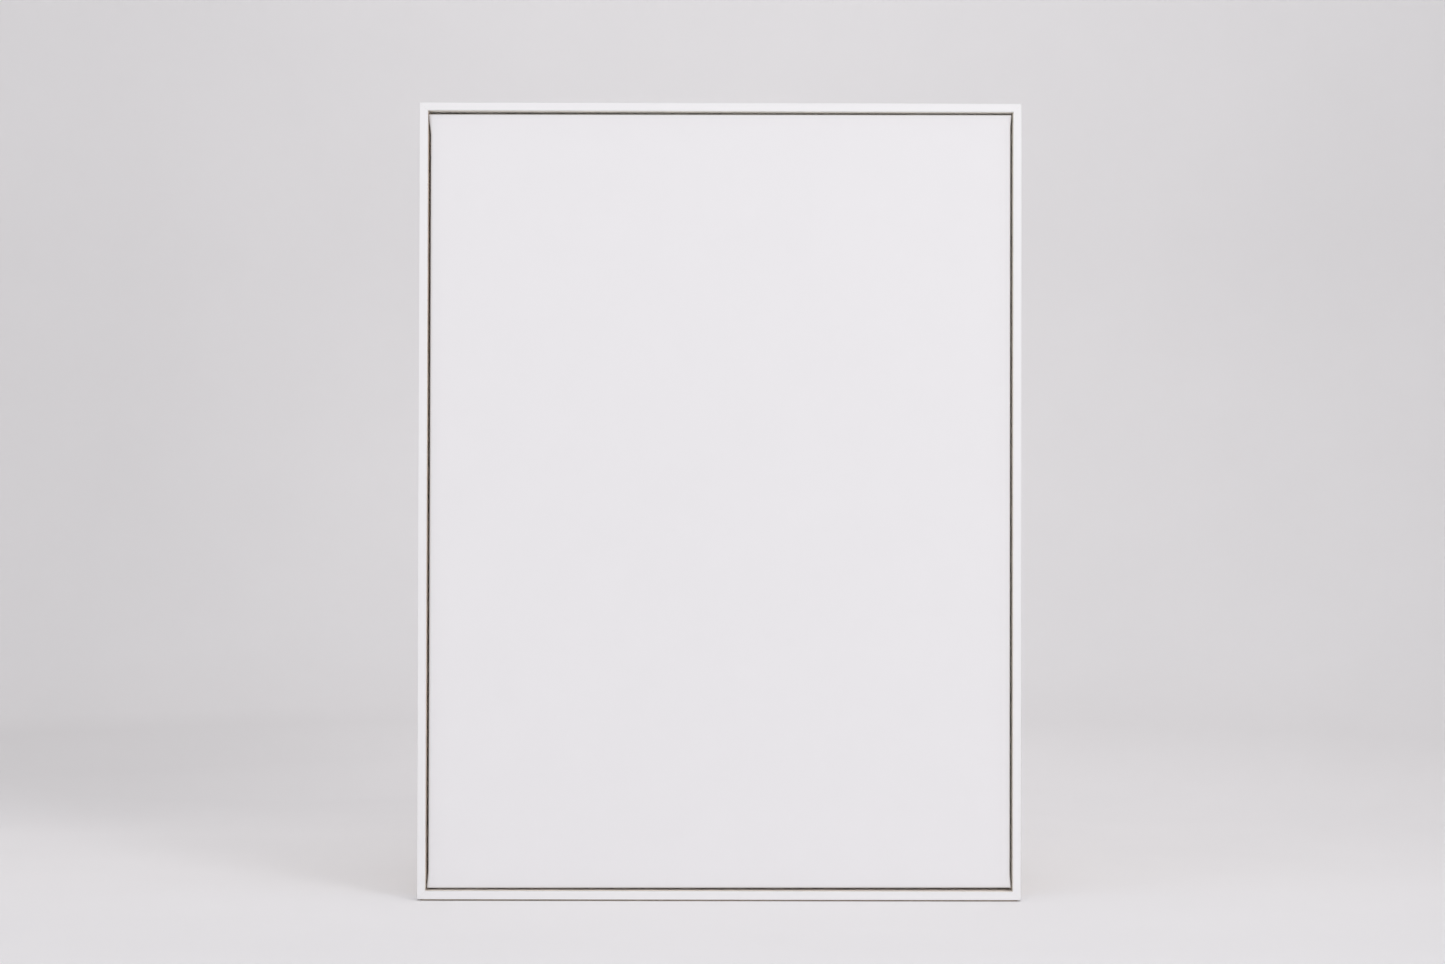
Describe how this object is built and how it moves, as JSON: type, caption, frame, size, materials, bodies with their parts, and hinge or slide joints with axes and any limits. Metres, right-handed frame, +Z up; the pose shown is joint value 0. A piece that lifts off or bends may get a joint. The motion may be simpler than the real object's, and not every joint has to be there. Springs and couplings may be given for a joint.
{
  "type": "float frame with stretched canvas",
  "caption": "Tall white float frame of mitred L-section rails holding a blank stretched canvas with a shadow gap all round; keyed stretcher and ring hangers behind, felt strip below.",
  "frame": {"origin": "middle of the underside of the felt strip below the bottom rail, at half the frame's depth", "axes": "+Z up along the frame's height, +X to the viewer's right across its width, -Y out of the front face, so the back and its hangers face +Y"},
  "size_m": [0.791, 0.0585, 1.047],
  "materials": {
    "white_paint": "satin white lacquer on softwood moulding, back left bare",
    "primed_canvas": "woven cotton canvas with matt white primer",
    "pine": "planed bare pine",
    "key_beech": "sawn bare beech",
    "zinc_steel": "zinc-plated steel",
    "bright_steel": "nickel-plated steel",
    "bumper_rubber": "matt black rubber",
    "base_felt": "pressed grey-brown felt"
  },
  "bodies": {
    "frame": {"frame_top_rail": "white_paint", "frame_right_rail": "white_paint", "frame_bottom_rail": "white_paint", "frame_left_rail": "white_paint", "corner_nail_top_left_outer": "zinc_steel", "corner_nail_top_left_inner": "zinc_steel", "corner_nail_top_right_outer": "zinc_steel", "corner_nail_top_right_inner": "zinc_steel", "corner_nail_bottom_left_outer": "zinc_steel", "corner_nail_bottom_left_inner": "zinc_steel", "corner_nail_bottom_right_outer": "zinc_steel", "corner_nail_bottom_right_inner": "zinc_steel", "stretcher_top_bar": "pine", "stretcher_right_bar": "pine", "stretcher_bottom_bar": "pine", "stretcher_left_bar": "pine", "cross_brace": "pine", "canvas_cloth": "primed_canvas", "base_felt_strip": "base_felt", "canvas_screw_top_1": "zinc_steel", "canvas_screw_top_2": "zinc_steel", "canvas_screw_right_1": "zinc_steel", "canvas_screw_right_2": "zinc_steel", "canvas_screw_right_3": "zinc_steel", "canvas_screw_bottom_1": "zinc_steel", "canvas_screw_bottom_2": "zinc_steel", "canvas_screw_left_1": "zinc_steel", "canvas_screw_left_2": "zinc_steel", "canvas_screw_left_3": "zinc_steel", "hanger_strap_left": "bright_steel", "hanger_screw_left_1": "zinc_steel", "hanger_screw_left_2": "zinc_steel", "wall_bumper_left": "bumper_rubber", "hanger_strap_right": "bright_steel", "hanger_screw_right_1": "zinc_steel", "hanger_screw_right_2": "zinc_steel", "wall_bumper_right": "bumper_rubber"},
    "ring_left": {"hanger_ring_left": "bright_steel"},
    "ring_right": {"hanger_ring_right": "bright_steel"},
    "key_top_bar_left": {"stretcher_key_top_bar_left": "key_beech"},
    "key_top_bar_right": {"stretcher_key_top_bar_right": "key_beech"},
    "key_right_bar_top": {"stretcher_key_right_bar_top": "key_beech"},
    "key_right_bar_bottom": {"stretcher_key_right_bar_bottom": "key_beech"},
    "key_bottom_bar_left": {"stretcher_key_bottom_bar_left": "key_beech"},
    "key_bottom_bar_right": {"stretcher_key_bottom_bar_right": "key_beech"},
    "key_left_bar_top": {"stretcher_key_left_bar_top": "key_beech"},
    "key_left_bar_bottom": {"stretcher_key_left_bar_bottom": "key_beech"}
  },
  "joints": [
    {"name": "ring_left_swing", "type": "hinge", "parent": "frame", "child": "ring_left", "pos_m": [-0.375, 0.0294, 0.787], "axis": [1, 0, 0], "range_deg": [0, 175]},
    {"name": "ring_right_swing", "type": "hinge", "parent": "frame", "child": "ring_right", "pos_m": [0.375, 0.0294, 0.787], "axis": [1, 0, 0], "range_deg": [0, 175]},
    {"name": "key_top_bar_left_slide", "type": "slide", "parent": "frame", "child": "key_top_bar_left", "axis": [0, 0, -1], "range_m": [0, 0.025]},
    {"name": "key_top_bar_right_slide", "type": "slide", "parent": "frame", "child": "key_top_bar_right", "axis": [0, 0, -1], "range_m": [0, 0.025]},
    {"name": "key_right_bar_top_slide", "type": "slide", "parent": "frame", "child": "key_right_bar_top", "axis": [-1, 0, 0], "range_m": [0, 0.025]},
    {"name": "key_right_bar_bottom_slide", "type": "slide", "parent": "frame", "child": "key_right_bar_bottom", "axis": [-1, 0, 0], "range_m": [0, 0.025]},
    {"name": "key_bottom_bar_left_slide", "type": "slide", "parent": "frame", "child": "key_bottom_bar_left", "axis": [0, 0, 1], "range_m": [0, 0.025]},
    {"name": "key_bottom_bar_right_slide", "type": "slide", "parent": "frame", "child": "key_bottom_bar_right", "axis": [0, 0, 1], "range_m": [0, 0.025]},
    {"name": "key_left_bar_top_slide", "type": "slide", "parent": "frame", "child": "key_left_bar_top", "axis": [1, 0, 0], "range_m": [0, 0.025]},
    {"name": "key_left_bar_bottom_slide", "type": "slide", "parent": "frame", "child": "key_left_bar_bottom", "axis": [1, 0, 0], "range_m": [0, 0.025]}
  ]
}
